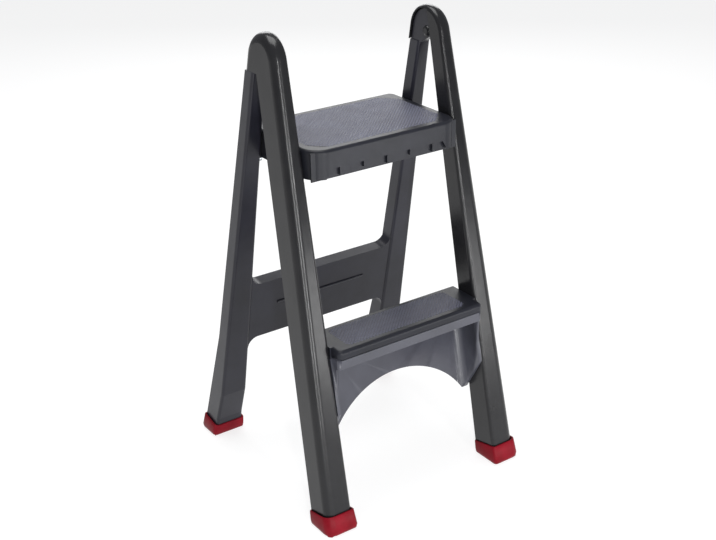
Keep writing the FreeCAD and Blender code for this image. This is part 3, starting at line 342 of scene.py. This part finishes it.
def foot_cap(end, side):
    name = f"{end}_foot_{side}"
    shift = CAP_HEIGHT * math.tan(LEAN[end])
    cap, x, y, wide, deep = foot_block(name, shift)
    round_corners(cap, end, 1 if side == "right" else -1, x, y, wide, deep)
    bpy.ops.mesh.select_all(action="SELECT")
    bpy.ops.mesh.bisect(plane_co=(x, y, CAP_BELLY), plane_no=(0, 0, 1))
    pick(cap, "VERT", lambda co: co.z > CAP_HEIGHT * 0.9)
    bpy.ops.transform.resize(value=(CROWN_DRAW, CROWN_DRAW, 1), center_override=(x, y, CAP_HEIGHT))
    bpy.ops.transform.translate(value=(0, shift, 0))
    bpy.ops.transform.rotate(value=LEAN[end], orient_axis="X",
                             center_override=(x, y + shift, CAP_HEIGHT))
    pick(cap, "VERT", lambda co: co.z < CAP_BELLY / 2)
    bpy.ops.transform.resize(value=(SOLE_DRAW, SOLE_DRAW, 1), center_override=(x, y, 0))
    pick(cap, "FACE", lambda co: co.z < CAP_BELLY / 2)
    bpy.ops.mesh.inset(thickness=SOLE_INSET, depth=0)
    pick(cap, "VERT", lambda co: co.z < NEAR and max(
        abs(co.x - x) / wide, abs(co.y - y) / deep) > SOLE_EDGE)
    bpy.ops.transform.translate(value=(0, 0, SOLE_LIFT))
    pick(cap, "FACE", lambda co: co.z > CAP_HEIGHT * 0.6)
    for thickness, depth in CROWN_INSETS:
        bpy.ops.mesh.inset(thickness=thickness * MM, depth=depth * MM)
    smooth(cap, 50)
    paint(cap, rubber)
    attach(cap, "root" if end == "front" else "rear_frame")
    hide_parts(name)
    print(cap.name, len(cap.data.polygons), "faces")


for end in ENDS:
    for side in SIDES:
        foot_cap(end, side)

# %% [markdown]
# ## The arched apron
#
# The apron below the lower step is one moulding: a web with side walls that run forward along the
# legs. On the real stool those walls end in a slant, level with the ends of the arch. The solid's
# mesh may not be changed, so the apron is a copy of it. Its loose triangles are merged first, and
# one slanted cut, closed with a new face, takes the lower corners off both walls.

# %% Copy the apron and cut its walls
WALL_END_FRONT, WALL_END_REAR = (-168 * MM, 196 * MM), (-114 * MM, 101 * MM)

apron = nodes["arch_panel"].copy()
apron.data = nodes["arch_panel"].data.copy()
apron.parent = None
apron.name = "apron"
bpy.context.scene.collection.objects.link(apron)
only(apron)
bpy.ops.object.mode_set(mode="EDIT")
bpy.ops.mesh.select_all(action="SELECT")
bpy.ops.mesh.remove_doubles(threshold=0.01 * MM)
slope = Vector((0, WALL_END_REAR[0] - WALL_END_FRONT[0], WALL_END_REAR[1] - WALL_END_FRONT[1]))
below = slope.cross(Vector((1, 0, 0))).normalized()
bpy.ops.mesh.bisect(plane_co=(0, *WALL_END_FRONT), plane_no=below, clear_outer=True,
                    use_fill=True, threshold=0.001 * MM)
smooth(apron, 35)
paint(apron, apron_reflection_plastic)
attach(apron, "root")
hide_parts("arch_panel")
print("apron", len(apron.data.polygons), "faces")

# %% [markdown]
# ## The anti-slip pattern
#
# Both steps have a field of small raised studs, turned by 45 degrees and about 4 mm apart, so a shoe
# grips in every direction. A bump would vanish in a mesh file, so each stud is real geometry. One
# stud is modelled from a four-sided cone, rows of it are made by two Array modifiers, and a second
# set halfway between the rows closes the pattern. Studs outside the field are then deleted.

# %% Model one stud and repeat it
STUD_PITCH = 6.2 * MM
STUD_RADIUS = 2.9 * MM
STUD_TOP = 0.45
STUD_HEIGHT = 0.55 * MM
STUD_SINK = 0.1 * MM


def stud_rows(name, x, y, z, columns, rows):
    bpy.ops.object.select_all(action="DESELECT")
    bpy.ops.mesh.primitive_cone_add(vertices=4, radius1=STUD_RADIUS, radius2=STUD_RADIUS * STUD_TOP,
                                    depth=STUD_HEIGHT, end_fill_type="NGON",
                                    location=(x, y, z + STUD_HEIGHT / 2 - STUD_SINK))
    piece = bpy.context.object
    piece.name = name
    for axis, count in ((0, columns), (1, rows)):
        array = piece.modifiers.new("repeat", "ARRAY")
        array.use_relative_offset = False
        array.use_constant_offset = True
        array.constant_offset_displace = [STUD_PITCH if axis == i else 0 for i in range(3)]
        array.count = count
        bpy.ops.object.modifier_apply(modifier=array.name)
    bake_place(piece)
    return piece


def keep_inside(piece, inside):
    """Delete the studs that lie outside the field or stick well out of it."""
    only(piece)
    bpy.ops.object.mode_set(mode="EDIT")
    bpy.ops.mesh.select_all(action="DESELECT")
    bpy.ops.object.mode_set(mode="OBJECT")
    for vertex in piece.data.vertices:
        vertex.select = not inside(vertex.co.x, vertex.co.y)
    bpy.ops.object.mode_set(mode="EDIT")
    bpy.ops.mesh.select_linked()
    bpy.ops.mesh.delete(type="VERT")
    bpy.ops.object.mode_set(mode="OBJECT")

# %% [markdown]
# The field of the upper step keeps a smooth margin all round and cuts off the corners. The field of
# the lower step stops short of the ends, where the tread is smooth and glossy.

# %% Lay the fields on both steps
def stud_field(name, body, half, front, rear, cut, z):
    """Studs on a field that is symmetrical about the middle, with its corners cut off."""
    def inside(x, y):
        edge = min(half - abs(x), y - front, rear - y)
        corner = min((half - abs(x)) + (y - front), (half - abs(x)) + (rear - y))
        return edge > 0 and corner > cut

    columns = math.ceil(2 * half / STUD_PITCH) + 1
    rows = math.ceil((rear - front) / STUD_PITCH) + 1
    grip = stud_rows(name, -half, front, z, columns, rows)
    between = stud_rows(name + "_between", -half - STUD_PITCH / 2, front - STUD_PITCH / 2, z,
                        columns + 1, rows + 1)
    only(grip)
    between.select_set(True)
    bpy.ops.object.join()
    keep_inside(grip, inside)
    paint(grip, tread_sheen_plastic)
    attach(grip, body)
    print(name, len(grip.data.polygons), "faces")


UPPER_MARGIN, UPPER_CUT = 13 * MM, 26 * MM
LOWER_HALF, LOWER_CUT = 122 * MM, 8 * MM
LOWER_FRONT_MARGIN, LOWER_REAR_MARGIN = 12 * MM, 5 * MM

upper_low, upper_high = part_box("upper_step")
lower_low, lower_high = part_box("lower_step")
stud_field("upper_step_grip", "upper_step", upper_high[0] - UPPER_MARGIN,
           upper_low[1] + UPPER_MARGIN, upper_high[1] - UPPER_MARGIN, UPPER_CUT, upper_high[2])
stud_field("lower_step_grip", "root", LOWER_HALF,
           lower_low[1] + LOWER_FRONT_MARGIN, lower_high[1] - LOWER_REAR_MARGIN, LOWER_CUT,
           lower_high[2])

# %% [markdown]
# ## Camera
#
# The camera stands a little above the stool, in front and to its left, about two metres away, with a
# longer lens. Its numbers come from matching the feet, the tops and the edges of both steps.

# %% Place the camera
CAMERA_PLACE = Vector((-1.0564, -1.5340, 1.2096))
CAMERA_YAW, CAMERA_PITCH, CAMERA_ROLL = math.radians(35.68), math.radians(25.07), math.radians(0.47)
SENSOR_MM, LENS_MM = 36, 60.2
CAMERA_SHIFT = (-0.0255, 0.0045)

bpy.ops.object.camera_add(location=CAMERA_PLACE)
camera = bpy.context.object
camera.name = "camera"
turn = (Matrix.Rotation(-CAMERA_YAW, 4, "Z") @ Matrix.Rotation(math.pi / 2 - CAMERA_PITCH, 4, "X")
        @ Matrix.Rotation(-CAMERA_ROLL, 4, "Z"))
camera.rotation_euler = turn.to_euler()
camera.data.sensor_width = SENSOR_MM
camera.data.lens = LENS_MM
camera.data.shift_x, camera.data.shift_y = CAMERA_SHIFT
bpy.context.scene.camera = camera
print("camera looks from", tuple(round(v, 2) for v in camera.location))

# %% [markdown]
# ## Light and floor
#
# A plain white floor and even pale surroundings, as in a catalogue picture. Wide soft lights from
# above and behind brighten the treads. Two tall narrow lights draw the long bright lines along the
# front and the rounded corners of the legs, and a low one from the right brightens the apron. No
# light shows itself to the camera. The floor glows a little, so that it stays white up to the top.

# %% Light the stool
MIDDLE = (0, 0, 0.4)
LIGHTS = {  # place, target, width, height, power in watts
    "light_above": ((-0.2, 0.2, 2.6), MIDDLE, 1.6, 1.6, 45),
    "light_back": ((1.5, 2.1, 1.55), MIDDLE, 2.2, 1.2, 26),
    "light_front_strip": ((-0.12, -1.75, 0.44), (-0.17, -0.15, 0.44), 0.06, 0.84, 12),
    "light_corner_strip": ((-0.78, -1.42, 0.5), (-0.18, -0.15, 0.4), 0.05, 1.3, 12),
    "light_low_right": ((0.66, -1.28, 0.2), (0, -0.11, 0.2), 0.6, 0.34, 5),
}
FLOOR_SIZE, FLOOR_GLOW = 12, 0.78
WORLD_STRENGTH = 0.35

for name, (place, target, width, height, power) in LIGHTS.items():
    bpy.ops.object.light_add(type="AREA", location=place)
    light = bpy.context.object
    light.name = name
    light.data.shape = "RECTANGLE"
    light.data.size, light.data.size_y = width, height
    light.data.energy = power
    light.visible_camera = False
    light.rotation_euler = (Vector(target) - Vector(place)).to_track_quat("-Z", "Y").to_euler()

world = bpy.data.worlds.new("studio")
bpy.context.scene.world = world
world.use_nodes = True
background = world.node_tree.nodes["Background"]
background.inputs["Color"].default_value = linear("#eef0f4")
background.inputs["Strength"].default_value = WORLD_STRENGTH

bpy.ops.mesh.primitive_plane_add(size=FLOOR_SIZE, location=(0, 0, 0))
floor = bpy.context.object
floor.name = "floor"
floor_paint, floor_tree = blank_material("studio_floor")
finish_material(floor_tree, add_node(floor_tree, "BsdfPrincipled", {
    "Base Color": linear("#8c8c8c"), "Roughness": 0.9,
    "Emission Color": linear("#ffffff"), "Emission Strength": FLOOR_GLOW}))
floor.data.materials.append(floor_paint)
bpy.context.scene.view_settings.view_transform = "Standard"
print(len(LIGHTS), "lights and the floor")
